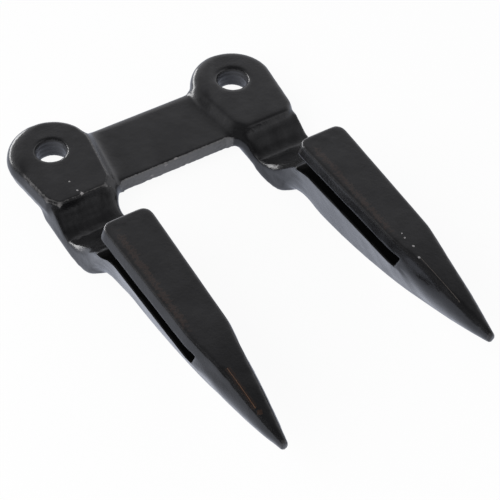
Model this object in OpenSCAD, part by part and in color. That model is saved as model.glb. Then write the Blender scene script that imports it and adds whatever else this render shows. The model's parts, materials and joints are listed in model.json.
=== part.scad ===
// Mower knife guard: a two-finger forging that bolts under a cutter bar.
// Origin: midway between the two bolt holes, on the seat that meets the cutter bar.
// +X runs from the left finger to the right one, +Y to the rear, +Z up. Fingers point along -Y.
// Lengths called "reach" are measured forward from the line through the bolt holes.

/* [Spacing and bolts] */
// Distance between the two fingers, and between the two bolt holes
pitch = 76.2; // [70:0.1:90]
// Diameter of a bolt hole
bolt_d = 11.6; // [9:0.1:13]

/* [Bolt pads] */
// Radius of a pad's round rear end, at its seat
pad_r = 14.9; // [13:0.1:16]
// Thickness of a pad
pad_thick = 9; // [8:0.1:11]
// Reach of a pad's front edge
pad_reach = 25.3; // [24:0.1:27]
// Angle at which each side of a pad closes in toward the front
pad_taper = 7.5; // [5:0.5:8]
// How far the parting ridge stands out from the edge of the seat
ridge_out = 1; // [0.5:0.1:1.5]
// Width of the chamfered corner at the front of a pad
pad_corner = 3; // [2:0.1:4]
// Width of the broken edge round the seat and the underside
edge_break = 0.7; // [0.4:0.1:1]

/* [Cross bar] */
// How far the bar's top lies below the seat
bar_drop = 3.2; // [2.5:0.1:4]
// Thickness of the bar
bar_thick = 5.8; // [4.5:0.1:6.5]
// Reach of the bar's front face
bar_reach = 23.6; // [20:0.1:24.5]
// How far the bar's rear face lies behind the bolt holes
bar_rear = 5; // [3:0.1:8]
// Radius of the bar's rear edges
bar_round = 2; // [1:0.1:2.2]
// Radius of the inside corner between the bar and a neck
bar_fillet = 5.5; // [3:0.1:8]
// Radius of the inside corner between the bar's rear and a pad
rear_fillet = 5; // [3:0.1:6]

/* [Necks] */
// Depth of the neck's underside below the seat
neck_depth = 13; // [12:0.1:15]
// Depth of the trough's floor below the seat
trough_depth = 7.5; // [6:0.1:8.5]
// Half width of the neck at its top
neck_top = 11.2; // [10:0.1:12]
// Half width of the neck at its foot
neck_foot = 12.3; // [12:0.1:13.5]
// How far the neck stands outward of its finger's centre line
neck_shift = 0.7; // [0:0.1:1.5]
// Reach at which the trough ends and the climb to the ledger starts
climb_reach = 34.5; // [33:0.1:38]
// Width of the bevel along each side of the climb
climb_bevel = 2.4; // [0:0.1:3]
// Reach at which the foot starts to round in toward the keel
foot_reach = 43; // [41:0.1:45]

/* [Fingers] */
// Reach of the lip's rear edge
lip_reach = 56.6; // [55:0.1:60]
// Reach of the bend where the nose starts to narrow
bend_reach = 110; // [104:0.1:114]
// How far the knife slot's front end lies past the bend
slot_past = 5; // [3:0.1:8]
// Reach of the blunt tip
tip_reach = 153.8; // [145:0.1:165]
// Height of the ledger, the slot's floor, above the seat
ledger_rise = 10; // [9:0.1:12]
// Height of the knife slot
slot_high = 5.6; // [4.5:0.1:6.5]
// How far the slot's front end leans forward from floor to roof
slot_lean = 2; // [0:0.1:2.5]
// Thickness of the lip above the slot
lip_thick = 3.9; // [3:0.1:5]
// Half width of the finger beside the slot, at its rear
finger_rear = 10.1; // [9:0.1:11]
// How much wider the ledger is on each side near its rear corners
ledger_flare = 2.8; // [1:0.1:3]
// Half width of the finger beside the slot, at the bend
finger_bend = 8.2; // [7:0.1:8.8]
// How much narrower the lip's flat top is on each side
lip_bevel = 1.4; // [0.8:0.1:2]
// Radius of the lip's rear corners, seen from above
lip_corner = 3.4; // [2:0.1:4.5]
// Half width of the keel's foot behind the bend
keel_foot = 3.4; // [2.5:0.1:4.5]
// Half width of the tip
tip_half = 1.2; // [0.8:0.1:1.6]
// Height of the tip's top below the lip's top
tip_drop = 5; // [3:0.1:6]
// Height of the blunt tip
tip_high = 3.8; // [3.2:0.1:5]
// How far the crease along a nose's sides ends below its top
crease_drop = 1.6; // [1.2:0.1:2]

/* [Hidden] */
$fn = 64;
paint = [0.13, 0.13, 0.14];

// Heights measured from the seat
bar_top = -bar_drop;
fillet_drop = 0.14 * bar_thick;
ridge_z = -0.55 * pad_thick;
neck_under = -neck_depth;
trough_floor = -trough_depth;
parting_z = ledger_rise + 0.5 * slot_high;
slot_roof = ledger_rise + slot_high;
lip_top = slot_roof + lip_thick;
tip_top = lip_top - tip_drop;
tip_under = tip_top - tip_high;

// Reaches where the lengthwise lines of a neck turn
neck_start = 15;
neck_full = 19;
trough_start = pad_reach - 0.6;
trough_flat = pad_reach + 10;
rise_end = lip_reach + 10.3;
rise_start = climb_reach;
foot_end = foot_reach + 8.6;
haunch_end = foot_reach + 24;
flare_start = lip_reach - 4;
flare_full = lip_reach + 6;
flare_end = lip_reach + 17;
lip_full = lip_reach + lip_corner;
slot_reach = bend_reach + slot_past;
crease_reach = mix(slot_reach, tip_reach, 0.7);

// How far the sides swell out between their edges, below and above the parting line
flank_swell = 0.1;
side_swell = 0.06;

// How closely the lofts follow their curves
corner_steps = 3;
neck_gap = 3.5;
finger_gap = 9;
nose_gap = 6;

// Blends
function share(s, a, b) = max(0, min(1, (s - a) / (b - a)));
function smooth(t) = t * t * (3 - 2 * t);
function mix(a, b, t) = a + (b - a) * t;
function sweep(s, a, b) = smooth(share(s, a, b));

// Reaches from a up to but not including b, evenly spaced and at most gap apart
function stations(a, b, gap) =
    let (count = ceil((b - a) / gap))
    [for (i = [0 : count - 1]) mix(a, b, i / count)];
neck_stations = concat(
    [neck_start],
    stations(neck_full, foot_reach, neck_gap),
    [for (f = [0, 0.3, 0.55, 0.75, 0.9]) mix(foot_reach, foot_end, f)],
    stations(foot_end, lip_full, neck_gap));
lip_stations = [for (f = [0, 0.05, 0.2, 0.5]) lip_reach + f * lip_corner];
finger_stations = concat(
    stations(lip_full, haunch_end + neck_gap, neck_gap),
    stations(haunch_end + neck_gap, bend_reach, finger_gap),
    stations(bend_reach, slot_reach, nose_gap),
    stations(slot_reach, tip_reach, nose_gap),
    [tip_reach]);

// A section's corner, sharp where r is 0, else a short curve that starts r from it
function toward(a, b, r) = a + (b - a) * min(0.45, r / max(norm(b - a), 0.001));
function corner(before, at, after, r) =
    r == 0
        ? [at]
        : let (start = toward(at, before, r), end = toward(at, after, r))
          [for (i = [0 : corner_steps])
              let (t = i / corner_steps)
              (1 - t) * (1 - t) * start + 2 * t * (1 - t) * at + t * t * end];

// Closed section from its right half, given from the top down as [x, z, corner radius]
function section(half) =
    let (
        n = len(half),
        all = concat(half, [for (i = [n - 1 : -1 : 0]) [-half[i][0], half[i][1], half[i][2]]]),
        points = [for (q = all) [q[0], q[1]]]
    )
    [for (i = [0 : 2 * n - 1])
        each corner(points[(i + 2 * n - 1) % (2 * n)], points[i], points[(i + 1) % (2 * n)], all[i][2])];

// Solid through a list of [reach, section], where every section has as many points
module loft(rings) {
    n = len(rings[0][1]);
    last = (len(rings) - 1) * n;
    points = [for (ring = rings) for (p = ring[1]) [p[0], -ring[0], p[1]]];
    sides = [for (k = [0 : n : last - n], i = [0 : n - 1])
        let (j = (i + 1) % n)
        each [[k + i, k + j, k + n + i], [k + j, k + n + j, k + n + i]]];
    rear = [for (i = [n - 1 : -1 : 0]) i];
    front = [for (i = [0 : n - 1]) last + i];
    polyhedron(points, concat(sides, [rear, front]), convexity = 8);
}

// Lengthwise lines of a neck and finger, each a function of the reach s
function nose(s) = share(s, bend_reach, tip_reach);
function past_slot(s) = sweep(s, slot_reach - 1, slot_reach + 5);
function finger_half(s) =
    s < bend_reach
        ? mix(finger_rear, finger_bend, share(s, lip_reach, bend_reach))
        : mix(finger_bend, tip_half, nose(s));
function crest_z(s) = mix(lip_top, tip_top, pow(nose(s), 1.7));
function flare(s) =
    ledger_flare * sweep(s, flare_start, flare_full + 2) * (1 - sweep(s, flare_full - 2, flare_end));
function bevel(s) =
    climb_bevel * sweep(s, rise_start + 2, rise_start + 12) * (1 - sweep(s, lip_reach - 5, lip_reach + 3));
function spine_half(s) =
    flare(s) + (s < lip_reach
        ? mix(neck_top, finger_rear, sweep(s, trough_flat, lip_reach))
        : finger_half(s));
function spine_z(s) =
    s < trough_flat
        ? mix(-0.25 * pad_thick, trough_floor, sweep(s, trough_start, trough_flat))
        : s < rise_end
        ? mix(trough_floor, parting_z, sweep(s, rise_start, rise_end))
        : mix(parting_z, crest_z(s) - crease_drop, sweep(s, slot_reach, crease_reach));
function keel_z(s) =
    s < neck_full
        ? mix(-pad_thick, neck_under, share(s, neck_start, neck_full))
        : mix(neck_under, tip_under, pow(share(s, foot_end + 8, tip_reach), 1.9));
function drift(s) = neck_shift * (1 - sweep(s, lip_reach, haunch_end));
function keel_half(s) =
    s < foot_end
        ? mix(keel_foot, neck_foot - 0.8, sqrt(1 - pow(share(s, foot_reach, foot_end), 2)))
        : mix(keel_foot, 0.7 * tip_half, share(s, foot_end, tip_reach));

// Section of a neck, and of a finger up to its ledger: top edge, shoulder, flank's foot, keel's foot
function lower_section(s) =
    let (
        top = [spine_half(s), spine_z(s)],
        keel = [keel_half(s), keel_z(s)],
        haunch = 1 - pow(1 - share(s, foot_reach + 6, haunch_end), 2),
        foot_half = mix(neck_foot, finger_rear, share(s, foot_reach - 4, foot_end)),
        wall = mix([finger_half(s), ledger_rise], mix(top, keel, 0.35), past_slot(s)),
        flank = mix([foot_half, keel[1] + 1.2], wall, haunch),
        shoulder = mix(top, flank, mix(0.22, 0.4, nose(s))) + [flank_swell, 0],
        keel_round = mix(1.2, 0.5 * keel[0] + 0.4, share(s, foot_reach, foot_end))
    )
    [for (p = section([
        [top[0] - bevel(s), top[1], 0],
        [shoulder[0], shoulder[1], 0],
        [flank[0], flank[1], mix(1.2, 0.3, haunch)],
        [keel[0], keel[1], keel_round]
    ])) p + [drift(s), 0]];

// Section of a lip, and of a nose above its ledger: top edge, brow, ledger's edge
function upper_section(s) =
    let (
        short = max(0, lip_full - s),
        inset = lip_corner - sqrt(lip_corner * lip_corner - short * short),
        half = finger_half(s) - inset,
        top = crest_z(s),
        top_half = half - mix(lip_bevel, 0.6 * tip_half, nose(s)),
        lean = 0.15 * (half - top_half) - side_swell,
        brow = mix([half, slot_roof], [half - lean, mix(spine_z(s), top, 0.15)], past_slot(s))
    )
    section([
        [top_half, top, 0.6],
        [brow[0], brow[1], 0],
        [half, spine_z(max(s, rise_end)), 0]
    ]);

// Neck, keel, lip and nose of the right finger, before its slot is cut
module finger() {
    loft([for (s = concat(neck_stations, finger_stations)) [s, lower_section(s)]]);
    loft([for (s = concat(lip_stations, finger_stations)) [s, upper_section(s)]]);
}

// Gap that the knife slides in, open to both sides and to the rear
module knife_slot() {
    rotate([90, 0, 90])
        linear_extrude(4 * finger_rear, center = true)
            polygon([
                [-foot_reach, ledger_rise],
                [-foot_reach, slot_roof],
                [-slot_reach, slot_roof],
                [slot_lean - slot_reach, ledger_rise]
            ]);
}

// Outline of a pad's straight part at the level where its round rear end has radius r.
// The sides would be tangent to that round, but lie a hair inside so that they cut it cleanly.
function pad_outline(r) =
    let (
        hair = 0.05,
        front = pad_reach + r - pad_r,
        half = function(y) (r - hair + y * sin(pad_taper)) / cos(pad_taper),
        start = -r * sin(pad_taper),
        side_end = 1.4 * pad_corner - front,
        front_half = half(side_end) - pad_corner
    )
    [[half(start), start], [half(side_end), side_end], [front_half, -front],
     [-front_half, -front], [-half(side_end), side_end], [-half(start), start]];

// Body with a round rear end and straight sides, through a list of [radius, level] from the lowest up
module pad_body(rings) {
    top = len(rings) - 1;
    rotate_extrude()
        polygon(concat([[0, rings[0][1]]], rings, [[0, rings[top][1]]]));
    outlines = [for (ring = rings) pad_outline(ring[0])];
    n = len(outlines[0]);
    sides = [for (k = [0 : top - 1], i = [0 : n - 1])
        let (j = (i + 1) % n)
        [k * n + i, k * n + j, k * n + n + j, k * n + n + i]];
    under = [for (i = [n - 1 : -1 : 0]) i];
    over = [for (i = [0 : n - 1]) top * n + i];
    polyhedron(
        [for (k = [0 : top]) for (p = outlines[k]) [p[0], p[1], rings[k][1]]],
        concat(sides, [under, over]));
}

// One bolt pad: a broken edge round the seat, and sides that swell to a parting ridge
module bolt_pad() {
    pad_body([
        [pad_r, -pad_thick],
        [pad_r + ridge_out, ridge_z],
        [pad_r + 0.4 * edge_break, -edge_break],
        [pad_r - 0.6 * edge_break, 0]
    ]);
}

// Sloped foot where the right pad's inner side stands on the bar
module pad_foot() {
    rise = 0.75 * bar_drop;
    intersection() {
        pad_body([[pad_r + 2.2 * rise, bar_top - rise], [pad_r + 0.2 * rise, bar_top + rise]]);
        translate([0, 0, bar_top - bar_thick])
            linear_extrude(bar_thick + bar_drop) {
                translate([-2 * pad_r, -bar_reach])
                    square([2 * pad_r, bar_reach + bar_rear - bar_round]);
                front_fillet_outline();
            }
    }
}

// Bar that joins the two pads: rounded along its rear, filleted into the necks and the pads
module cross_bar() {
    low = bar_top - bar_thick;
    rotate([90, 0, 90])
        linear_extrude(pitch, center = true) {
            translate([-bar_reach, low])
                square([bar_reach + bar_rear - bar_round, bar_thick]);
            translate([-bar_reach, low + bar_round])
                square([bar_reach + bar_rear, bar_thick - 2 * bar_round]);
            for (z = [low + bar_round, bar_top - bar_round])
                translate([bar_rear - bar_round, z])
                    circle(bar_round);
        }
    for (side = [0, 1])
        mirror([side, 0, 0])
            translate([pitch / 2, 0, low]) {
                linear_extrude(bar_thick - fillet_drop)
                    front_fillet_outline();
                translate([0, 0, fillet_drop])
                    linear_extrude(bar_thick - 2 * fillet_drop)
                        rear_fillet_outline();
            }
}

// Corner piece between the bar's front face and the inner side of the right neck
module front_fillet_outline() {
    lap = 0.18 * neck_foot;
    translate([-neck_foot - bar_fillet, -bar_reach - bar_fillet])
        difference() {
            square([bar_fillet + lap, bar_fillet + lap]);
            circle(bar_fillet);
        }
}

// Corner piece between the bar's rear face and the round end of the right pad
module rear_fillet_outline() {
    lap = 2;
    round_r = pad_r + 0.5 * ridge_out;
    centre_y = bar_rear + rear_fillet;
    centre_x = -sqrt(pow(round_r + rear_fillet, 2) - centre_y * centre_y);
    touch = [centre_x, centre_y] * round_r / (round_r + rear_fillet);
    difference() {
        polygon([[centre_x, bar_rear], touch, 0.7 * touch, [centre_x, bar_rear - lap]]);
        translate([centre_x, centre_y])
            circle(rear_fillet);
    }
}

// The forging
module guard_forging() {
    color(paint)
        difference() {
            union() {
                cross_bar();
                for (side = [0, 1])
                    mirror([side, 0, 0])
                        translate([pitch / 2, 0, 0]) {
                            bolt_pad();
                            pad_foot();
                            finger();
                        }
            }
            for (side = [-1, 1])
                translate([side * pitch / 2, 0, 0]) {
                    knife_slot();
                    translate([0, 0, -2 * pad_thick])
                        cylinder(h = 3 * pad_thick, d = bolt_d);
                }
        }
}

guard_forging();
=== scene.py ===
# %% [markdown]
# A mower knife guard
#
# A knife guard is the fixed half of a sickle mower's scissors. Two steel fingers point
# forward, the knife slides sideways through a slot in each, and two bolts hold the pair
# under the cutter bar. It is forged in one piece, trimmed, and dipped or sprayed black.
# The construction is already a solid model, so this lesson adds what a solid model lacks:
# soft forged edges, the small ripples of a struck surface, thin black paint, and wear.

import json
import math

import bpy
import numpy as np
from mathutils import Matrix, Vector

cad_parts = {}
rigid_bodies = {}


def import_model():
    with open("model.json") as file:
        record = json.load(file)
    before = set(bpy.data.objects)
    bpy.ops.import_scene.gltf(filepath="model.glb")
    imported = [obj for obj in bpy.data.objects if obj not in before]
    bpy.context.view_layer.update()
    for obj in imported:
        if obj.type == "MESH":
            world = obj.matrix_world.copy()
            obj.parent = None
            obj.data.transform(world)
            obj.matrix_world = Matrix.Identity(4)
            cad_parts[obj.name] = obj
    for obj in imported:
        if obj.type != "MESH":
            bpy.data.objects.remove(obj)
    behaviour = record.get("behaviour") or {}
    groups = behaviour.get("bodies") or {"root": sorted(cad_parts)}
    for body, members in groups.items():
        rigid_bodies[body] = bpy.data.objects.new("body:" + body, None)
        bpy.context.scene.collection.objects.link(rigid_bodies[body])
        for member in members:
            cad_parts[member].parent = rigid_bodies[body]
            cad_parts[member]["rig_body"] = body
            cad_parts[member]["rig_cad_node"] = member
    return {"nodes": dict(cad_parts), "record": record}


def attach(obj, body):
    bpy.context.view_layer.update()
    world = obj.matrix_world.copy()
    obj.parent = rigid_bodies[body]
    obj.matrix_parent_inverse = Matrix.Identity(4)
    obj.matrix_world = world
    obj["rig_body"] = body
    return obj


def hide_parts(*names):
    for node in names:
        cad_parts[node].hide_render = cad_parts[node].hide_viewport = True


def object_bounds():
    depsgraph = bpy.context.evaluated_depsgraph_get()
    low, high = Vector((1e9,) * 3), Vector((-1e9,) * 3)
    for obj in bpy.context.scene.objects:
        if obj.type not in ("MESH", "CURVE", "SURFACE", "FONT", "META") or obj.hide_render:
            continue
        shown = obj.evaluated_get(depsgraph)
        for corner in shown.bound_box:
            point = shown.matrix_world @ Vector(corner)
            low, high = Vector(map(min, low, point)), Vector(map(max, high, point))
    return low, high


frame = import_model()
cad_low, cad_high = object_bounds()
scene = bpy.context.scene
guard = frame["nodes"]["guard_forging"]
record = frame["record"]
print("guard from", tuple(cad_low), "to", tuple(cad_high))

# %% [markdown]
# Places on the guard
#
# Everything that follows is placed from a few known spots: the bolt holes, the knife
# slots and the box round the whole piece. They could be typed in again, but the record
# that came with the model states them, so they are read from there and always agree.

# %% Named places, in metres
MM = 0.001

mounts = {mount["name"]: mount for mount in record["mounts"]}
openings = {space["name"]: space for space in record["physics"]["openings"]}
finger_x = mounts["right_bolt_hole"]["pos_m"][0]
hole_r = mounts["right_bolt_hole"]["dims"]["r_mm"] * MM
slot_low, slot_high = (Vector(corner) for corner in openings["right_knife_slot"]["box_m"])
slot_front = -slot_low.y
tip_reach = -cad_low.y
lip_z = cad_high.z
table_z = cad_low.z
print("fingers at x = +/-", finger_x, "m, tips", tip_reach, "m ahead of the bolts")
print("table at z =", table_z, "m, lips at z =", lip_z, "m")

# %% [markdown]
# The forged skin
#
# Real forgings have no sharp edges: the die rounds them and paint rounds them again.
# A bevel on this mesh would have to follow hundreds of small triangles, so the skin is
# made another way. A copy of the solid is rebuilt as an even net of small squares and
# laid back on the solid's own faces, so that flats stay flat. The cells after this one
# round and shape that net by moving its points.

# %% An even net over the solid
NET = 0.62 * MM
NET_LEVELS = 9
WELD = 0.001 * MM

draft = guard.copy()
draft.data = guard.data.copy()
draft.parent = None
# The draft isn't a piece, so it drops the tags that came with the copy.
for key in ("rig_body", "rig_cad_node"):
    del draft[key]
scene.collection.objects.link(draft)
weld = draft.modifiers.new("weld", "WELD")
weld.merge_threshold = WELD
net = draft.modifiers.new("net", "REMESH")
net.mode = "SHARP"
net.octree_depth = NET_LEVELS
net.scale = max(cad_high - cad_low) / (NET * 2 ** NET_LEVELS)
net.use_remove_disconnected = False
lay = draft.modifiers.new("lay", "SHRINKWRAP")
lay.target = guard
lay.wrap_method = "NEAREST_SURFACEPOINT"
view = bpy.context.evaluated_depsgraph_get()
skin_mesh = bpy.data.meshes.new_from_object(draft.evaluated_get(view))
skin = bpy.data.objects.new("painted_forging", skin_mesh)
scene.collection.objects.link(skin)
bpy.data.objects.remove(draft)
print("net of", len(skin_mesh.vertices), "points and", 2 * len(skin_mesh.polygons), "triangles")

# %% [markdown]
# Whole arrays
#
# The net has some ninety thousand points. They could be moved one at a time with bmesh,
# but that is slow, and most steps below do the same thing to every point. So the net is
# read into arrays once, worked on there, and put back into the mesh at the end.

# %% Read the net into arrays


def table_of(items, field, width, kind):
    """One field of many mesh items, as an array with one row for each item."""
    flat = np.empty(len(items) * width, dtype=kind)
    items.foreach_get(field, flat)
    return flat.reshape(-1, width)


count = len(skin_mesh.vertices)
points = table_of(skin_mesh.vertices, "co", 3, np.float64)
pairs = table_of(skin_mesh.edges, "vertices", 2, np.int64)
squares = table_of(skin_mesh.polygons, "vertices", 4, np.int64)
neighbours = np.bincount(pairs.ravel(), minlength=count)
print("a point has", neighbours.min(), "to", neighbours.max(), "neighbours")

# %% Helpers that work on every point at once
HALF_STEP = 0.5


def middle(values):
    """For every point, the mean of its neighbours' values."""
    total = np.empty_like(values)
    for axis in range(values.shape[1]):
        gain_a = np.bincount(pairs[:, 0], values[pairs[:, 1], axis], count)
        gain_b = np.bincount(pairs[:, 1], values[pairs[:, 0], axis], count)
        total[:, axis] = (gain_a + gain_b) / neighbours
    return total


def outward(values):
    """Unit normals: each square's diagonals crossed, summed at its corners and made length 1."""
    corner = values[squares]
    facing = np.cross(corner[:, 2] - corner[:, 0], corner[:, 3] - corner[:, 1])
    total = np.zeros_like(values)
    for axis in range(3):
        total[:, axis] = np.bincount(squares.ravel(), np.repeat(facing[:, axis], 4), count)
    return total / np.linalg.norm(total, axis=1, keepdims=True)


def band(values, start, end):
    """0 at start, 1 at end, with a smooth climb between; start may lie above end."""
    t = np.clip((values - start) / (end - start), 0, 1)
    return t * t * (3 - 2 * t)


def smoothed(values, share, rounds):
    """Each round takes every point half of its share of the way to its neighbours' mean."""
    for _ in range(rounds):
        values = values + (HALF_STEP * share)[:, None] * (middle(values) - values)
    return values


spacing = np.linalg.norm(points[pairs[:, 0]] - points[pairs[:, 1]], axis=1)
print("neighbours lie", spacing.mean() / MM, "mm apart on average")

# %% [markdown]
# Where a point lies
#
# Each later step works on one region: the pads, the bar, the necks, the slots or the noses.
# Vertex groups could hold them, but they would have to be painted by hand. Here every point
# gets a few measures instead, and a smooth climb from 0 to 1 along a measure picks out the
# region, so no step leaves a hard border. A pair of values below says where a climb starts
# and where it is full. Reach is how far a point lies ahead of the bolts, and local is how
# far it lies to the side of its own finger's middle.

# %% Measures for every point
SLOT_BEGINS = (52 * MM, 56 * MM)
NECK_BEGINS = (25 * MM, 28 * MM)
NECK_ENDS = (64 * MM, 58 * MM)
BETWEEN_FINGERS = (25 * MM, 22 * MM)
MOSTLY = 0.9

reach = -points[:, 1]
hand = np.sign(points[:, 0])
local = points[:, 0] - hand * finger_x
height = points[:, 2]
near_slot = (
    band(height, slot_low.z - 2 * MM, slot_low.z - MM)
    * band(height, slot_high.z + 2 * MM, slot_high.z + MM)
    * band(reach, *SLOT_BEGINS)
    * band(reach, slot_front + 8 * MM, slot_front + 5 * MM)
)
on_neck = band(reach, *NECK_BEGINS) * band(reach, *NECK_ENDS)
between = band(np.abs(points[:, 0]), *BETWEEN_FINGERS)
bar_rear = points[between > MOSTLY, 1].max()
bar_top = height[between > MOSTLY].max()
print("points near the slots:", int((near_slot > 0.5).sum()))
print("bar from y =", bar_rear / MM, "mm with its top at", bar_top / MM, "mm")

# %% [markdown]
# Rounded edges
#
# Every edge of the forging has a small radius. Moving each point toward the middle of its
# neighbours rounds edges and leaves flats alone, which a bevel can't do on such a mesh. The
# knife slots keep crisper edges than the rest, so they get only a share of it.

# %% Round the edges
EDGE_ROUNDS = 3
SLOT_SHARE = 0.3

points = smoothed(points, 1 - (1 - SLOT_SHARE) * near_slot, EDGE_ROUNDS)
print("edges rounded in", EDGE_ROUNDS, "rounds")

# %% [markdown]
# Softer rims
#
# The die wears most where the steel flows furthest, so the outer rims of the pads and the
# rear edge of the bar come out rounder than the rest. More rounds of the same smoothing,
# weighted by where the rim is, make that without a second tool.

# %% Round the rims further
RIM_ROUNDS = 36
# The rims are softest in this direction, across and back.
REAR_LEFT = (-0.85, 0.53)
RIM_BEGINS = (6 * MM, 10 * MM)
RIM_HEIGHT = (-6 * MM, -4 * MM)
RIM_FRONT = (10 * MM, 0)
RIM_SIDE = (18 * MM, 16 * MM)
RIGHT_HAND = (0, 10 * MM)
PAD_FRONT = (30 * MM, 26 * MM)
RIGHT_PAD_TOP = (-3 * MM, -2 * MM)
BAR_SHARE = 0.7
RIGHT_PAD_SHARE = 0.2

rearward = local * REAR_LEFT[0] - reach * REAR_LEFT[1]
pad_rim = band(rearward, *RIM_BEGINS) * band(height, *RIM_HEIGHT) * band(reach, *RIM_FRONT)
pad_rim = pad_rim * band(np.abs(local), *RIM_SIDE)
bar_rim = between * band(points[:, 1], bar_rear - 4 * MM, bar_rear - 2 * MM)
bar_rim = bar_rim * band(height, bar_top - 4 * MM, bar_top - 2 * MM)
right_pad = band(points[:, 0], *RIGHT_HAND) * band(reach, *PAD_FRONT) * band(height, *RIGHT_PAD_TOP)
soft = np.maximum(np.maximum(pad_rim, BAR_SHARE * bar_rim), RIGHT_PAD_SHARE * right_pad)
points = smoothed(points, soft, RIM_ROUNDS)
print("points on the soft rims:", int((soft > 0.2).sum()))

# %% [markdown]
# Inside corners
#
# Bar, pad and neck meet in one hollow on the inner side of each finger. A fillet tool has
# trouble where three faces of different heights run together, so the hollow is made by
# smoothing the net many times, there and nowhere else.

# %% Soften the inside corners between bar, pad and neck
CORNER_ROUNDS = 50
CORNER_SIDE = 11 * MM
CORNER_WIDE = (5 * MM, 2.5 * MM)
CORNER_TOP = (-1 * MM, -2.5 * MM)
BAR_FRONT = (18 * MM, 21 * MM)
CORNER_FRONT = (36 * MM, 31 * MM)

inner = -hand * local
inside_corner = band(np.abs(inner - CORNER_SIDE), *CORNER_WIDE) * band(height, *CORNER_TOP)
inside_corner = inside_corner * band(reach, *BAR_FRONT) * band(reach, *CORNER_FRONT)
points = smoothed(points, inside_corner, CORNER_ROUNDS)
print("points in the inside corners:", int((inside_corner > 0.2).sum()))

# %% [markdown]
# Edges that stand out
#
# Paint is thinnest on an edge and goes there first, and these edges also carry a painted
# highlight. A shader can find edges too, but the arrays below need them as well, to keep
# ripples off the edges. A point that lies further out than the middle of its neighbours is on
# an edge, and spreading that number over the net gives the zone round it.

# %% Find the edges
EDGE_FULL = 0.14
EDGE_ZONE_ROUNDS = 6
EDGE_ZONE_GAIN = 6

normals = outward(points)
stand_out = ((points - middle(points)) * normals).sum(1) / NET
edge = np.clip(stand_out / EDGE_FULL, 0, 1)
edge_zone = edge[:, None]
for _ in range(EDGE_ZONE_ROUNDS):
    edge_zone = middle(edge_zone)
calm = 1 - np.clip(EDGE_ZONE_GAIN * edge_zone[:, 0], 0, 1)
print("points on edges:", int((edge > 0.5).sum()))

# %% [markdown]
# Trough walls
#
# The walls of the trough behind each finger are one smooth sweep. The solid makes them from
# narrow facets, which glossy paint would show as a plaid. Smoothing that spares the edges
# melts the facets into one surface.

# %% Even out the walls of the troughs
WALL_ROUNDS = 14

points = smoothed(points, on_neck * calm, WALL_ROUNDS)
print("trough walls evened over", int((on_neck * calm > 0.5).sum()), "points")

# %% [markdown]
# Filled valleys
#
# Hot steel doesn't fill sharp inside corners, so a die has generous fillets where the
# pads stand on the bar, where the necks leave the pads and where the fingers rise. Each
# round below lifts a point only if its neighbours lie further out than it does, which
# fills valleys and leaves ridges as they are.

# %% Fill the valleys
VALLEY_ROUNDS = 40
NECK_SHARE = 0.3
NORMAL_EVERY = 10

fill = HALF_STEP * (1 - near_slot) * (1 - (1 - NECK_SHARE) * on_neck)
for turn in range(VALLEY_ROUNDS):
    if turn % NORMAL_EVERY == 0:
        normals = outward(points)
    lift = ((middle(points) - points) * normals).sum(1)
    points = points + (fill * np.maximum(lift, 0))[:, None] * normals
print("valleys filled in", VALLEY_ROUNDS, "rounds")

# %% [markdown]
# The struck surface
#
# A forging keeps the die's wear and the scale that was hammered into it, so its glossy
# paint mirrors the room in slow waves. The flats that bolt up or carry the knife are the
# truest, and the necks the roughest. A noise texture could do it in the paint, but then
# the mesh itself would stay dead flat. The waves here are sums of sines that run in many
# directions, which look the same from every side and don't repeat along the guard. All of
# them are gathered in one distance, away, by which each point moves along its normal.

# %% Ripples
WAVES = 14
rng = np.random.default_rng(4)


def ripple(length):
    """Sum of sine waves of one length that run in random directions, about -1 to 1."""
    ways = rng.normal(size=(WAVES, 3))
    ways = ways / np.linalg.norm(ways, axis=1, keepdims=True)
    phases = rng.uniform(0, 2 * math.pi, WAVES)
    turns = points @ ways.T * (2 * math.pi / length) + phases
    return np.sin(turns).sum(1) / math.sqrt(2 * WAVES)


FLAT_RIPPLE = 0.012 * MM
FLAT_WAVE = 10 * MM
# Smoothing drew the soft rims in, and this brings them out again.
RIM_SWELL = 0.6 * MM
NECK_RIPPLE = 0.09 * MM
NECK_WAVE = 6 * MM
SCALE_RIPPLE = 0.04 * MM
SCALE_WAVE = 2.2 * MM
SCALE_LEAST = 0.4
LEFT_HAND = (0, -10 * MM)
TROUGH_FLOOR = (0.2, 0.5)

normals = outward(points)
left_trough = on_neck * band(points[:, 0], *LEFT_HAND) * band(normals[:, 2], *TROUGH_FLOOR)
away = FLAT_RIPPLE * ripple(FLAT_WAVE) + RIM_SWELL * pad_rim
away = away + NECK_RIPPLE * on_neck * calm * ripple(NECK_WAVE)
away = away + SCALE_RIPPLE * on_neck * calm * (SCALE_LEAST + left_trough) * ripple(SCALE_WAVE)
print("ripples and rims move points by up to", float(np.abs(away).max() / MM), "mm")

# %% [markdown]
# The noses, strip by strip
#
# A nose has a parting line along its side, where the two halves of the die met, and a keel
# below. Both change from the slot to the tip. They could be typed in as curves, but the net
# already knows them: the nose is cut into thin strips, and each strip's lowest, widest and
# highest points are looked up. The widest point lies on the parting line. A low curve
# through all the strips takes out the steps that single points would leave.

# %% Keel and parting line of the noses
STRIP = 1.5 * MM
NOSE_BEGINS = 4 * MM
NEARLY_WIDEST = 0.15 * MM
RIDGE_DEGREE = 2

on_lower = reach > slot_front + NOSE_BEGINS
strips = np.arange(slot_front, tip_reach + STRIP, STRIP)
strip_of = np.clip(((reach - slot_front) / STRIP).astype(int), 0, len(strips) - 1)


def in_strips(best, start, values, chosen):
    """The least or greatest of the chosen values in each strip, by np.minimum or np.maximum."""
    found = np.full(len(strips), start)
    best.at(found, strip_of[chosen], values[chosen])
    return found


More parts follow.
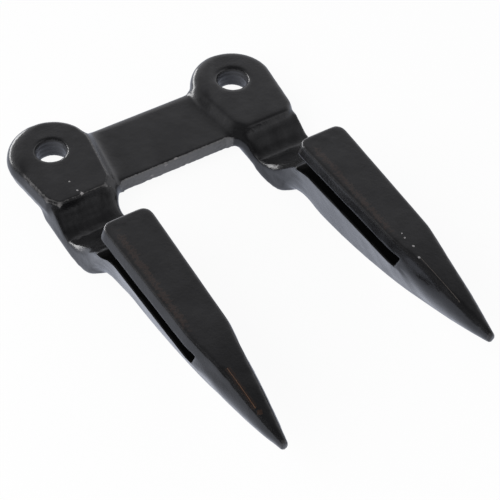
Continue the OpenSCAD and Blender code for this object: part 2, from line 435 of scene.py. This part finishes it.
keel = in_strips(np.minimum, np.inf, height, on_lower)
crown = in_strips(np.maximum, -np.inf, height, on_lower)
broad = in_strips(np.maximum, 0.0, np.abs(local), on_lower)
widest = on_lower & (np.abs(local) > broad[strip_of] - NEARLY_WIDEST)
ridge = in_strips(np.maximum, -np.inf, height, widest)
known = np.isfinite(keel) & np.isfinite(ridge)
stations = strips[known] + STRIP / 2
keel_z = np.interp(reach, stations, keel[known])
ridge_z = np.polyval(np.polyfit(stations, ridge[known], RIDGE_DEGREE), reach)
print("parting line between", ridge[known].min() / MM, "and", ridge[known].max() / MM, "mm")

# %% [markdown]
# The full lower flanks of the noses
#
# Below the parting line the sides of a nose aren't flat: the steel swells just under the
# line and runs in to the keel. A second, rounder solid could be joined on, but a swell of
# the net has no seam. Its profile is x times (1 - x) squared, where x runs from the parting
# line at 0 to the keel at 1, so it is fullest a third of the way down.

# %% Swell the lower flanks
SWELL_SHARE = 0.085
# 27/4 makes the profile 1 where it is fullest.
SWELL_NORM = 6.75
FACING_SIDE = (0.3, 0.6)
SWELL_CLIMB = 16 * MM
TIP_FADE = (MM, 8 * MM)

down = np.clip((ridge_z - height) / (ridge_z - keel_z), 0, 1)
flank = band(np.abs(normals[:, 0]), *FACING_SIDE) * band(reach, slot_front, slot_front + SWELL_CLIMB)
flank = flank * band(reach, tip_reach - TIP_FADE[0], tip_reach - TIP_FADE[1])
away = away + flank * SWELL_SHARE * (ridge_z - keel_z) * SWELL_NORM * down * (1 - down) ** 2
print("lower flanks swell over", int((flank > 0.5).sum()), "points")

# %% [markdown]
# Rounder tips
#
# Toward its tip a nose turns from a ridged section to a nearly round one. A loft from one
# section to the other would do it on a new piece. Here the section is already a net, so
# each point is pulled toward an ellipse that is as wide and as high as its strip. The flat
# top is left as it is.

# %% Round the noses toward their tips
ROUND_REACH = (120 * MM, 150 * MM)
ROUND_SHARE = 0.5
ROUND_BELOW = (0.75, 0.2)
LEAST_MIDDLE = 0.3
MOST_MIDDLE = 1.4

crown_z = np.interp(reach, stations, crown[known])
broad_x = np.interp(reach, stations, broad[known])
centre_z = (crown_z + keel_z) / 2
half_high = (crown_z - keel_z) / 2
across = local / broad_x
upright = (height - centre_z) / half_high
from_middle = np.clip(np.hypot(across, upright), LEAST_MIDDLE, MOST_MIDDLE)
rounding = ROUND_SHARE * band(reach, *ROUND_REACH) * band(upright, *ROUND_BELOW)
pull = 1 + rounding * (1 / from_middle - 1)
points[:, 0] = points[:, 0] + local * (pull - 1)
points[:, 2] = points[:, 2] + (height - centre_z) * (pull - 1)
normals = outward(points)
print("noses rounded by up to", float(np.abs(local * (pull - 1)).max() / MM), "mm")

# %% [markdown]
# Trimmed front of the bar
#
# After forging, the spare steel between the fingers is sheared off, which leaves a torn,
# uneven face along the front of the bar. Short ripples on the points that face forward
# there give it real depth, so that its edge is ragged from every side.

# %% Tear the front face of the bar
TRIM_WAVE = 0.16 * MM
TRIM_STEP = 1.9 * MM
FACING_FRONT = (-0.45, -0.8)
TRIM_BEGINS = (18 * MM, 20 * MM)
TRIM_ENDS = (32 * MM, 30 * MM)

trim = band(normals[:, 1], *FACING_FRONT) * between
trim = trim * band(reach, *TRIM_ENDS) * band(reach, *TRIM_BEGINS)
away = away + trim * TRIM_WAVE * ripple(TRIM_STEP)
print("sheared face on", int((trim > 0.5).sum()), "points")

# %% [markdown]
# Drilled holes
#
# The drill leaves fine rings down the wall of each bolt hole. A bump map would do from
# afar, but the rim of the hole would stay a perfect circle. A sine wave along the depth of
# the hole moves the wall itself.

# %% Rings in the bolt holes
RING_PITCH = 2.0 * MM
RING_DEEP = 0.09 * MM
BORE_WALL = (0.7 * MM, 0.3 * MM)
BORE_TOP = (-0.2 * MM, -1.2 * MM)

from_hole = np.hypot(local, points[:, 1])
in_bore = band(from_hole, hole_r + BORE_WALL[0], hole_r + BORE_WALL[1]) * band(height, *BORE_TOP)
away = away + in_bore * RING_DEEP * np.sin(2 * math.pi * height / RING_PITCH)
print("bolt hole walls on", int((in_bore > 0.5).sum()), "points")

# %% [markdown]
# The flash line
#
# A thin fin of steel squeezes out between the two halves of the die. Trimming leaves a faint
# raised line along each nose that wanders a little. A curve with a round profile would
# stand on the surface like a wire, so the line is a low swell of the net along the parting
# line, with two sines for its wander.

# %% Flash line along the noses
FLASH_HIGH = 0.05 * MM
FLASH_WIDE = 0.6 * MM
FLASH_WANDER = 0.25 * MM
LONG_WANDER = 3.1 * MM
SHORT_WANDER = 1.7 * MM
SHORT_SHARE = 0.6
FLASH_ENDS = 142 * MM
FLASH_FADE_IN = (0, 0.08)
FLASH_FADE_OUT = (1, 0.85)
STEEP_SIDE = (0.5, 0.8)
LINE_LEAST = 0.3
FAR_OFF = 9

along = np.clip((reach - slot_front) / (FLASH_ENDS - slot_front), 0, 1)
wander = np.sin(reach / LONG_WANDER) + SHORT_SHARE * np.sin(reach / SHORT_WANDER + 1)
from_line = height - ridge_z - FLASH_WANDER * wander
on_nose = band(along, *FLASH_FADE_IN) * band(along, *FLASH_FADE_OUT)
on_nose = on_nose * band(np.abs(normals[:, 0]), *STEEP_SIDE)
away = away + FLASH_HIGH * np.exp(-(from_line / FLASH_WIDE) ** 2) * on_nose
# In millimetres, so that the paint can lay a narrow satin line along it.
flash_gap = np.where(on_nose > LINE_LEAST, np.abs(from_line) / MM, FAR_OFF)
print("flash line passes", int((flash_gap < FLASH_WIDE / MM).sum()), "points")

# %% Move the points along their normals
NOSE_ROUNDS = 6
CLEAR = 0.02 * MM

points = points + away[:, None] * normals
points = smoothed(points, flank, NOSE_ROUNDS)
# The undersides of the necks carry the guard, and stay just clear of the table.
points[:, 2] = np.maximum(points[:, 2], table_z + CLEAR)
print("struck surface moves points by up to", float(np.abs(away).max() / MM), "mm")

# %% [markdown]
# Where the paint has gone, and where highlight and shade are painted
#
# Paint leaves first where the piece was handled, bolted or trimmed: off the sharp edges of
# the left pad, off the rear corners of the lips and off the sheared front of the bar. Along
# those edges the grey is also a painted highlight. The insides of the slots are darkened as
# painted shade and kept dull. An image could be painted for all this, but it would need an
# unwrapped mesh. These places are numbers on the skin's points instead, which the paint
# reads to change its colour.

# %% Rubbed edges with painted highlights, and handled places
LEFT_PAD_TOP = (-3 * MM, -1.5 * MM)
LIP_REAR = (76 * MM, 58 * MM)
LIP_SHARE = 0.8
BAR_EDGE_SHARE = 0.6
HANDLED_LINE = 5.4 * MM
HANDLED_WIDE = 1.7 * MM
HANDLED_BEGINS = (58 * MM, 66 * MM)
HANDLED_ENDS = (118 * MM, 100 * MM)

left_pad = band(points[:, 0], *LEFT_HAND) * band(reach, *PAD_FRONT) * band(height, *LEFT_PAD_TOP)
lip_rear = band(reach, *LIP_REAR) * band(height, lip_z - 4 * MM, lip_z - 2 * MM)
bar_edge = between * band(reach, *BAR_FRONT)
# The rubbed edges are partly worn paint and partly a painted highlight along the edges.
rubbed_and_highlit = edge * np.maximum(np.maximum(left_pad, LIP_SHARE * lip_rear), BAR_EDGE_SHARE * bar_edge)
rubbed_and_highlit = rubbed_and_highlit * band(from_hole, hole_r + 2 * MM, hole_r + 3 * MM)
handled = np.exp(-((local + HANDLED_LINE) / HANDLED_WIDE) ** 2)
handled = handled * band(height, lip_z - 2 * MM, lip_z - 0.8 * MM)
handled = handled * band(reach, *HANDLED_BEGINS) * band(reach, *HANDLED_ENDS)
worn_tip = band(reach, tip_reach - 2.5 * MM, tip_reach - 0.5 * MM)
print("rubbed edges on", int((rubbed_and_highlit > 0.5).sum()), "points")

# %% Insides of the knife slots, darkened as painted shade
NEAR_FLAT = (MM, 0.4 * MM)
NEAR_END = (MM, 0.5 * MM)
FACING_UP = (0.3, 0.6)
FACING_DOWN = (-0.6, -0.85)
FACING_REAR = (0.4, 0.7)
SLOT_OPENS = (56 * MM, 60 * MM)

slot_floor = band(np.abs(height - slot_low.z), *NEAR_FLAT) * band(normals[:, 2], *FACING_UP)
slot_roof = band(np.abs(height - slot_high.z), *NEAR_FLAT) * band(normals[:, 2], *FACING_DOWN)
slot_end = band(np.abs(reach - slot_front), *NEAR_END) * band(normals[:, 1], *FACING_REAR)
slot_end = slot_end * band(height, slot_low.z - MM, slot_low.z)
slot_end = slot_end * band(height, slot_high.z + MM, slot_high.z)
# The slot insides take a near-black colour: painted shade, with a dull finish.
slot_painted_shade = np.maximum(np.maximum(slot_floor, slot_roof), slot_end) * band(reach, *SLOT_OPENS)
slot_painted_shade = slot_painted_shade * band(reach, slot_front + 1.5 * MM, slot_front + MM)
print("insides of the slots on", int((slot_painted_shade > 0.5).sum()), "points")

# %% Keep the wear, painted highlight and painted shade as numbers on the points
wear_and_painted_light = {
    "rubbed_and_highlit_edge": rubbed_and_highlit,
    "sheared_face": trim,
    "handled_edge": handled,
    "worn_tip": worn_tip,
    "flash_gap": flash_gap,
    "drilled_wall": in_bore,
    "slot_painted_shade": slot_painted_shade,
}
for name, values in wear_and_painted_light.items():
    kept = skin_mesh.attributes.new(name, "FLOAT", "POINT")
    kept.data.foreach_set("value", values.astype(np.float32))
    print(name, "from", float(values.min()), "to", float(values.max()))

# %% [markdown]
# Back into the mesh
#
# The arrays go back into the net, which then stands for the solid wherever the guard is
# seen. The solid itself is hidden, not deleted, because it still serves for collisions.

# %% Put the skin back
skin_mesh.vertices.foreach_set("co", points.ravel())
skin_mesh.update()
skin_mesh.polygons.foreach_set("use_smooth", np.ones(len(skin_mesh.polygons), dtype=bool))
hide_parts("guard_forging")
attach(skin, "root")
print("skin put back with", len(skin_mesh.polygons), "squares")

# %% [markdown]
# Black paint
#
# Thin black enamel over forged steel. The coat is smooth enough to mirror the pale table
# on the steep sides, but the struck steel below makes it ripple, and dust and handling
# leave it more satin on the flats. Painted images would blur up close, so each pattern is
# a noise on the guard's own coordinates, with a grain size in millimetres.

# %% Helpers for materials


def linear(hex_colour):
    """A hex colour as written for a screen, turned to the linear values a shader uses."""
    parts = [int(hex_colour[i:i + 2], 16) / 255 for i in (1, 3, 5)]
    steps = [c / 12.92 if c <= 0.04045 else ((c + 0.055) / 1.055) ** 2.4 for c in parts]
    return (*steps, 1.0)


def add(tree, kind, inputs=None, **settings):
    """Add one node, set its properties, and fill its inputs with values or other nodes' outputs."""
    made = tree.nodes.new(kind)
    for name, value in settings.items():
        setattr(made, name, value)
    for key, value in (inputs or {}).items():
        if isinstance(value, bpy.types.NodeSocket):
            tree.links.new(value, made.inputs[key])
        else:
            made.inputs[key].default_value = value
    return made


def new_material(name):
    """An empty material and its node tree."""
    material = bpy.data.materials.new(name)
    material.use_nodes = True
    material.node_tree.nodes.clear()
    return material, material.node_tree


print("a screen's middle grey is", linear("#808080")[0], "of white to a shader")

# %% Black enamel
# Enamel, sprayed thin: near black, a clear mirror at low angles, and a satin haze in clouds
# where dust has settled.
ENAMEL = linear("#131314")
ENAMEL_DUSTY = linear("#1C1C1D")
CLOUD_SIZE = 9 * MM
# Real grain is finer, but a pixel of the picture covers about a third of a millimetre.
GRAIN_SIZE = 0.9 * MM
PEEL_SIZE = 3.5 * MM
DUST_CLOUDS = (0.35, 0.7)
GLOSS_CLOUDS = (0.3, 0.7)
GLOSSY = 0.16
SATIN = 0.27
# A Mix node that is set to colours keeps its share, two colours and result in these sockets.
SHARE, UNDER, OVER, MIXED = 0, 6, 7, 2

paint, tree = new_material("black_enamel_on_forged_steel")
place = add(tree, "ShaderNodeTexCoord").outputs["Object"]
cloud = add(tree, "ShaderNodeTexNoise", {"Vector": place, "Scale": 1 / CLOUD_SIZE, "Detail": 4.0})
grain = add(tree, "ShaderNodeTexNoise", {"Vector": place, "Scale": 1 / GRAIN_SIZE, "Detail": 3.0})
peel = add(tree, "ShaderNodeTexNoise", {"Vector": place, "Scale": 1 / PEEL_SIZE, "Detail": 1.0})
speckle = grain.outputs["Fac"]
dusty = add(tree, "ShaderNodeMapRange",
            {"Value": cloud.outputs["Fac"], "From Min": DUST_CLOUDS[0], "From Max": DUST_CLOUDS[1]})
enamel = add(tree, "ShaderNodeMix",
             {SHARE: dusty.outputs["Result"], UNDER: ENAMEL, OVER: ENAMEL_DUSTY}, data_type="RGBA")
gloss = add(tree, "ShaderNodeMapRange",
            {"Value": cloud.outputs["Fac"], "From Min": GLOSS_CLOUDS[0], "From Max": GLOSS_CLOUDS[1],
             "To Min": GLOSSY, "To Max": SATIN})
print("enamel with", len(tree.nodes), "nodes, its grain", GRAIN_SIZE / MM, "mm")

# %% [markdown]
# Wear in the paint
#
# Where the coat is gone, steel shows, and where steel was wet, rust. Real wear has a ragged
# border, because the grain of the coat decides where it lets go. A painted mask would need
# that border drawn by hand. Here each worn place takes its number on the points, adds the
# grain to it, and lets the sum pass from paint to steel over a short climb. Every place is
# a colour and an amount, kept in a list from the paint outwards.

# %% Worn places and painted edge highlights
# Bare steel is a soft grey, sheared steel is darker, the walls of the bolt holes are a darker grey
# still, and old handling is brown. On the rubbed edges the soft grey is also a painted highlight.
BARE_STEEL_AND_HIGHLIGHT = linear("#8E8C8C")
SHEARED = linear("#6C6C6D")
# The walls of the bolt holes are given a grey lighter than the enamel.
BORE_WALL_GREY = linear("#424244")
HANDLED = linear("#3A2D27")


def ragged_mark(name, low, high, ragged, share=1.0):
    """How far an attribute plus the grain has passed from low to high, times share."""
    amount = add(tree, "ShaderNodeAttribute", attribute_name=name).outputs["Fac"]
    torn = add(tree, "ShaderNodeMapRange",
               {"Value": speckle, "To Min": -ragged / 2, "To Max": ragged / 2}, clamp=False)
    both = add(tree, "ShaderNodeMath", {0: amount, 1: torn.outputs["Result"]}, operation="ADD")
    ramp = add(tree, "ShaderNodeMapRange",
               {"Value": both.outputs["Value"], "From Min": low, "From Max": high, "To Max": share})
    return ramp.outputs["Result"]


layers = [
    (HANDLED, ragged_mark("handled_edge", low=0.55, high=0.95, ragged=2.2, share=0.4)),
    (BORE_WALL_GREY, ragged_mark("drilled_wall", low=0.3, high=0.9, ragged=0.5)),
    (SHEARED, ragged_mark("sheared_face", low=0.3, high=0.8, ragged=0.9)),
    # Rubbed edges: partly worn paint, partly a painted highlight.
    (BARE_STEEL_AND_HIGHLIGHT, ragged_mark("rubbed_and_highlit_edge", low=0.4, high=0.75, ragged=0.5, share=0.45)),
    (BARE_STEEL_AND_HIGHLIGHT, ragged_mark("worn_tip", low=0.7, high=1.2, ragged=0.9, share=0.15)),
]
print(len(layers), "worn places, torn by a grain of", GRAIN_SIZE / MM, "mm")

# %% [markdown]
# Scratches
#
# Something hard was drawn along the top of each nose. The left scratch is old: it has rusted,
# and the rust has stained the paint beside it. A curve laid on the surface would stand
# proud, so a scratch is worked out in the paint: the distance from a straight line, made
# unsteady by the grain, is small enough, and the point lies between the line's ends.

# %% Rusted and dull scratches
# Ends and widths are in millimetres.
RUST = linear("#5E4635")
RUST_STAIN = linear("#271F1C")
DULL_STEEL = linear("#6F6762")
RUST_START = (-40.5, -125.3, 18.7)
RUST_END = (-40.0, -140.6, 16.8)
SCRATCH_START = (34.6, -120.3, 19.1)
SCRATCH_END = (35.8, -139.6, 16.8)
SCRATCH_DEPTH = 1.5 * MM
WAVER = 1.2


def scratch(start, end, half_width, share):
    """Share along a straight scratch: within half_width of its line, and between its ends."""
    start = Vector(start) * MM
    end = Vector(end) * MM
    half_width = half_width * MM
    run = (end - start).normalized()
    side = run.cross(Vector((0, 0, 1))).normalized()
    here = add(tree, "ShaderNodeVectorMath", {0: place, 1: start}, operation="SUBTRACT").outputs[0]
    aside = add(tree, "ShaderNodeVectorMath", {0: here, 1: side}, operation="DOT_PRODUCT")
    ahead = add(tree, "ShaderNodeVectorMath", {0: here, 1: run}, operation="DOT_PRODUCT")
    torn = add(tree, "ShaderNodeMapRange",
               {"Value": speckle, "To Min": -half_width * WAVER, "To Max": half_width * WAVER},
               clamp=False)
    off = add(tree, "ShaderNodeMath",
              {0: aside.outputs["Value"], 1: torn.outputs["Result"]}, operation="ADD")
    gap = add(tree, "ShaderNodeMath", {0: off.outputs["Value"]}, operation="ABSOLUTE")
    high = add(tree, "ShaderNodeSeparateXYZ", {"Vector": place})
    tests = [
        ("LESS_THAN", gap.outputs["Value"], half_width),
        ("GREATER_THAN", ahead.outputs["Value"], 0.0),
        ("LESS_THAN", ahead.outputs["Value"], (end - start).length),
        ("GREATER_THAN", high.outputs["Z"], min(start.z, end.z) - SCRATCH_DEPTH),
    ]
    amount = share
    for operation, value, limit in tests:
        passed = add(tree, "ShaderNodeMath", {0: value, 1: limit}, operation=operation)
        product = add(tree, "ShaderNodeMath",
                      {0: passed.outputs["Value"], 1: amount}, operation="MULTIPLY")
        amount = product.outputs["Value"]
    return amount


layers += [
    (RUST_STAIN, scratch(RUST_START, RUST_END, half_width=0.8, share=0.7)),
    (RUST, scratch(RUST_START, RUST_END, half_width=0.11, share=0.75)),
    (DULL_STEEL, scratch(SCRATCH_START, SCRATCH_END, half_width=0.12, share=0.32)),
]
print("rusted scratch", (Vector(RUST_END) - Vector(RUST_START)).length, "mm long")

# %% [markdown]
# Chips
#
# Knocks have taken small chips out of the paint, where bright steel shows, and one of them
# has rusted. They could be small dents in the net, but a coat of paint is thinner than
# the net could show. A chip is a ball round a spot, with the grain added to the distance so
# that its border is ragged.

# %% Chips and a rust spot
# Places and radii are in millimetres.
RUST_SPOT = linear("#33261F")
RUST_SPOT_PLACE = (-39.6, -142.3, 16.5)
CHIP_RAGGED = 2.0
CHIPS = {
    "left pad, rear": ((-39.5, -17.3, 0), 0.32),
    "left pad, middle": ((-39.1, -22.3, 0), 0.42),
    "left pad, front": ((-38.3, -24.6, 0), 0.6),
    "bar front, left": ((-10.1, -23.6, -7.0), 0.5),
    "bar front, middle": ((-4.3, -23.6, -4.3), 0.7),
    "bar front, right": ((-0.1, -23.6, -3.4), 0.6),
    "right lip, rear": ((35.4, -108.9, 19.5), 0.3),
    "right lip, middle": ((35.0, -111.1, 19.5), 0.25),
    "right lip, front": ((35.3, -115.1, 19.4), 0.3),
    "right nose": ((34.3, -119.7, 19.1), 0.36),
}


def chip(spot, radius, share=1.0):
    """Share inside a ragged chip: where distance from the spot plus the grain is below radius."""
    radius = radius * MM
    gap = add(tree, "ShaderNodeVectorMath", {0: place, 1: Vector(spot) * MM}, operation="DISTANCE")
    torn = add(tree, "ShaderNodeMapRange",
               {"Value": speckle, "To Min": -radius * CHIP_RAGGED, "To Max": radius * CHIP_RAGGED},
               clamp=False)
    off = add(tree, "ShaderNodeMath",
              {0: gap.outputs["Value"], 1: torn.outputs["Result"]}, operation="ADD")
    within = add(tree, "ShaderNodeMath", {0: off.outputs["Value"], 1: radius}, operation="LESS_THAN")
    amount = add(tree, "ShaderNodeMath", {0: within.outputs["Value"], 1: share}, operation="MULTIPLY")
    return amount.outputs["Value"]


layers.append((RUST_SPOT, chip(RUST_SPOT_PLACE, radius=0.8, share=0.7)))
layers += [(BARE_STEEL_AND_HIGHLIGHT, chip(spot, radius)) for spot, radius in CHIPS.values()]
print(len(CHIPS), "chips and a rust spot")

# %% [markdown]
# One surface from all the layers
#
# Each layer could be a shader of its own, mixed over the last one, but that makes a slow and
# tangled tree. One shader is enough here: the layers change its colour one after another,
# the sheared face and the flash line make it rougher, and the insides of the slots, darkened
# as painted shade over a dull finish, mirror next to nothing.

# %% Lay the colours over each other
# Near black inside the slots: painted shade over a dull, unpainted finish.
SLOT_SHADE_BLACK = linear("#070707")

slot_shade = add(tree, "ShaderNodeAttribute", attribute_name="slot_painted_shade").outputs["Fac"]
layers.append((SLOT_SHADE_BLACK, slot_shade))
colour = enamel.outputs[MIXED]
for tone, amount in layers:
    laid = add(tree, "ShaderNodeMix", {SHARE: amount, UNDER: colour, OVER: tone}, data_type="RGBA")
    colour = laid.outputs[MIXED]
print("colour in", len(layers), "layers over the enamel")

# %% Roughness and mirror
SHEARED_ROUGH = 0.45
FLASH_ROUGH = 0.42
FLASH_LINE = (0.1, 0.35)
ENAMEL_IOR = 1.5
PAINT_MIRROR = 0.5
SLOT_MIRROR = 0.08

sheared = add(tree, "ShaderNodeAttribute", attribute_name="sheared_face").outputs["Fac"]
torn_face = add(tree, "ShaderNodeMath", {0: sheared, 1: SHEARED_ROUGH}, operation="MULTIPLY")
gap = add(tree, "ShaderNodeAttribute", attribute_name="flash_gap").outputs["Fac"]
flash_line = add(tree, "ShaderNodeMapRange",
                 {"Value": gap, "From Min": FLASH_LINE[0], "From Max": FLASH_LINE[1],
                  "To Min": FLASH_ROUGH, "To Max": 0.0})
dull = add(tree, "ShaderNodeMath",
           {0: torn_face.outputs["Value"], 1: flash_line.outputs["Result"]}, operation="MAXIMUM")
rough = add(tree, "ShaderNodeMath",
            {0: gloss.outputs["Result"], 1: dull.outputs["Value"]}, operation="MAXIMUM")
mirror = add(tree, "ShaderNodeMapRange",
             {"Value": slot_shade, "To Min": PAINT_MIRROR, "To Max": SLOT_MIRROR})
print("roughness from", GLOSSY, "on clean enamel to", SHEARED_ROUGH, "on the sheared face")

# %% The finished surface
GRAIN_DEEP = 0.1 * MM
GRAIN_STRENGTH = 0.42
PEEL_DEEP = 0.3 * MM
PEEL_STRENGTH = 0.2

fine = add(tree, "ShaderNodeBump",
           {"Height": speckle, "Strength": GRAIN_STRENGTH, "Distance": GRAIN_DEEP})
relief = add(tree, "ShaderNodeBump",
             {"Height": peel.outputs["Fac"], "Strength": PEEL_STRENGTH, "Distance": PEEL_DEEP,
              "Normal": fine.outputs["Normal"]})
surface = add(tree, "ShaderNodeBsdfPrincipled",
              {"Base Color": colour, "Roughness": rough.outputs["Value"],
               "IOR": ENAMEL_IOR, "Specular IOR Level": mirror.outputs["Result"],
               "Normal": relief.outputs["Normal"]})
add(tree, "ShaderNodeOutputMaterial", {"Surface": surface.outputs["BSDF"]})
skin_mesh.materials.clear()
skin_mesh.materials.append(paint)
print(paint.name, "has", len(tree.nodes), "nodes")

# %% [markdown]
# The table
#
# The guard lies on a white table, as in a catalogue. Strong lamps could burn the table out
# to white, but they would burn out the guard's gloss as well. So the table glows a little
# by itself. It is almost white to the camera, with a faint shadow left in. In reflections
# it is a cooler white that keeps more of the shadow, which is what the enamel mirrors.

# %% A plain table
TABLE_HALF = 3.0

corners = np.array([[-1, -1], [1, -1], [1, 1], [-1, 1]]) * TABLE_HALF
table_mesh = bpy.data.meshes.new("table")
table_mesh.from_pydata([(x, y, table_z) for x, y in corners], [], [(0, 1, 2, 3)])
table = bpy.data.objects.new("table", table_mesh)
scene.collection.objects.link(table)
print("table", 2 * TABLE_HALF, "m wide at z =", table_z, "m")

# %% White table top
# A matt white top: no gloss of its own, so only its brightness and a soft shadow are seen.
TABLE_WHITE = linear("#F2F2F2")
PLAIN_WHITE = linear("#FFFFFF")
COOL_WHITE = linear("#E2EAFF")
SHADOW_SHARE = 0.06
MIRRORED_SHADOW = 0.4

white, tree = new_material("white_table")
ray = add(tree, "ShaderNodeLightPath")
mirrored = add(tree, "ShaderNodeMath",
               {0: ray.outputs["Is Glossy Ray"], 1: ray.outputs["Is Transmission Ray"]},
               operation="MAXIMUM")
seen = add(tree, "ShaderNodeMath",
           {0: ray.outputs["Is Camera Ray"], 1: 1 - SHADOW_SHARE}, operation="MULTIPLY")
bright = add(tree, "ShaderNodeMath",
             {0: mirrored.outputs["Value"], 1: 1 - MIRRORED_SHADOW, 2: seen.outputs["Value"]},
             operation="MULTIPLY_ADD")
matt = add(tree, "ShaderNodeBsdfDiffuse", {"Color": TABLE_WHITE})
hue = add(tree, "ShaderNodeMix",
          {SHARE: mirrored.outputs["Value"], UNDER: PLAIN_WHITE, OVER: COOL_WHITE}, data_type="RGBA")
glow = add(tree, "ShaderNodeEmission", {"Color": hue.outputs[MIXED], "Strength": 1.0})
top = add(tree, "ShaderNodeMixShader",
          {0: bright.outputs["Value"], 1: matt.outputs["BSDF"], 2: glow.outputs["Emission"]})
add(tree, "ShaderNodeOutputMaterial", {"Surface": top.outputs["Shader"]})
table_mesh.materials.append(white)
print("table top keeps", SHADOW_SHARE, "of its shadow to the camera")

# %% [markdown]
# The room
#
# Black enamel shows little but what it mirrors, so the room matters more than the lamps. A
# photographed room would be an image file. This one is a curve: bright near the level of
# the table and dark toward the ceiling, with one open, darker side at the front left. The
# camera itself sees plain white.

# %% Brightness of the room by height
# Each pair is how far up the room, from level at 0 to straight up at 1, and how bright it is.
ROOM_LIGHT = [(0.0, 1.05), (0.5, 0.95), (0.65, 0.56), (0.76, 0.46),
              (0.86, 0.28), (0.95, 0.12), (1.0, 0.1)]

world = bpy.data.worlds.new("studio")
scene.world = world
world.use_nodes = True
tree = world.node_tree
tree.nodes.clear()
sky = add(tree, "ShaderNodeTexCoord").outputs["Generated"]
climb = add(tree, "ShaderNodeSeparateXYZ", {"Vector": sky})
fall = add(tree, "ShaderNodeFloatCurve", {"Value": climb.outputs["Z"]})
curve = fall.mapping.curves[0]
curve.points[0].location = ROOM_LIGHT[0]
curve.points[1].location = ROOM_LIGHT[-1]
for stop in ROOM_LIGHT[1:-1]:
    curve.points.new(*stop)
fall.mapping.use_clip = False
fall.mapping.update()
print("room light in", len(ROOM_LIGHT), "steps from level to straight up")

# %% One darker side, and plain white to the camera
ROOM_TINT = linear("#FAFAFE")
OPEN_SIDE = (-0.766, -0.643, 0.0)
OPEN_EDGE = (0.1, 0.45)
OPEN_LIGHT = 0.12

open_side = add(tree, "ShaderNodeVectorMath", {0: sky, 1: OPEN_SIDE}, operation="DOT_PRODUCT")
shade = add(tree, "ShaderNodeMapRange",
            {"Value": open_side.outputs["Value"], "From Min": OPEN_EDGE[0], "From Max": OPEN_EDGE[1],
             "To Min": 1.0, "To Max": OPEN_LIGHT})
light = add(tree, "ShaderNodeMath",
            {0: fall.outputs["Value"], 1: shade.outputs["Result"]}, operation="MULTIPLY")
camera_ray = add(tree, "ShaderNodeLightPath").outputs["Is Camera Ray"]
plain = add(tree, "ShaderNodeMath", {0: light.outputs["Value"], 1: camera_ray}, operation="MAXIMUM")
tint = add(tree, "ShaderNodeMix",
           {SHARE: camera_ray, UNDER: ROOM_TINT, OVER: PLAIN_WHITE}, data_type="RGBA")
room = add(tree, "ShaderNodeBackground",
           {"Color": tint.outputs[MIXED], "Strength": plain.outputs["Value"]})
add(tree, "ShaderNodeOutputWorld", {"Surface": room.outputs["Background"]})
print("the open side has", OPEN_LIGHT, "of the room's light")

# %% [markdown]
# The lamps
#
# Two softboxes add direction to the even room. The key stands high on the left and gives the
# forms their light and dark sides. Its own reflection would draw hard bright lines along
# the noses, so it is hidden from gloss. The rim lamp lies low behind the guard, and its
# reflection is wanted: it draws the pale bands on the surfaces that slope away.

# %% Two softboxes
KEY_PLACE = (-0.8, -0.2, 0.7)
KEY_SIZE = (0.9, 0.9)
KEY_WATTS = 11
RIM_PLACE = (-0.3, 0.95, 0.14)
RIM_SIZE = (0.9, 0.3)
RIM_WATTS = 6


def softbox(name, stand, aim, size, watts, in_gloss):
    """A soft lamp of this width and height that stands here and shines toward aim."""
    lamp = bpy.data.lights.new(name, "AREA")
    lamp.shape = "RECTANGLE"
    lamp.size, lamp.size_y = size
    lamp.energy = watts
    made = bpy.data.objects.new(name, lamp)
    made.location = stand
    made.visible_glossy = in_gloss
    made.rotation_euler = (Vector(aim) - Vector(stand)).to_track_quat("-Z", "Y").to_euler()
    scene.collection.objects.link(made)


middle_of_guard = (cad_low + cad_high) / 2
softbox("key", KEY_PLACE, middle_of_guard, KEY_SIZE, KEY_WATTS, in_gloss=False)
softbox("rim", RIM_PLACE, middle_of_guard, RIM_SIZE, RIM_WATTS, in_gloss=True)
print("lit by a pale room, a key of", KEY_WATTS, "W and a rim lamp of", RIM_WATTS, "W")

# %% [markdown]
# The camera
#
# The photograph looks down on the guard from its front left with a long lens. A camera can
# be aimed by eye, but then the guard falls a little off its place. The place, angles and
# lens below were fitted so that the holes, lips and tips fall where they do in the picture.

# %% Camera
CAMERA_PLACE = Vector((-163.99, -319.10, 340.65)) * MM
LOOK_AZIMUTH = math.radians(33.485)
LOOK_DOWN = math.radians(49.457)
ROLL = math.radians(2.354)
LENS = 95.78
SENSOR = 36.0
SHIFT = (0.0096, 0.0031)
NEAREST = 0.01

forward = Vector((math.sin(LOOK_AZIMUTH) * math.cos(LOOK_DOWN),
                  math.cos(LOOK_AZIMUTH) * math.cos(LOOK_DOWN),
                  -math.sin(LOOK_DOWN)))
level = Vector((math.cos(LOOK_AZIMUTH), -math.sin(LOOK_AZIMUTH), 0))
rise = level.cross(forward)
right = level * math.cos(ROLL) + rise * math.sin(ROLL)
up = right.cross(forward)
lens = bpy.data.cameras.new("camera")
lens.lens = LENS
lens.sensor_width = SENSOR
lens.shift_x, lens.shift_y = SHIFT
lens.clip_start = NEAREST
camera = bpy.data.objects.new("camera", lens)
turned = Matrix((right, up, -forward)).transposed().to_4x4()
camera.matrix_world = Matrix.Translation(CAMERA_PLACE) @ turned
scene.collection.objects.link(camera)
scene.camera = camera
scene.view_settings.view_transform = "Standard"
print("camera", (CAMERA_PLACE - middle_of_guard).length, "m from the middle of the guard")
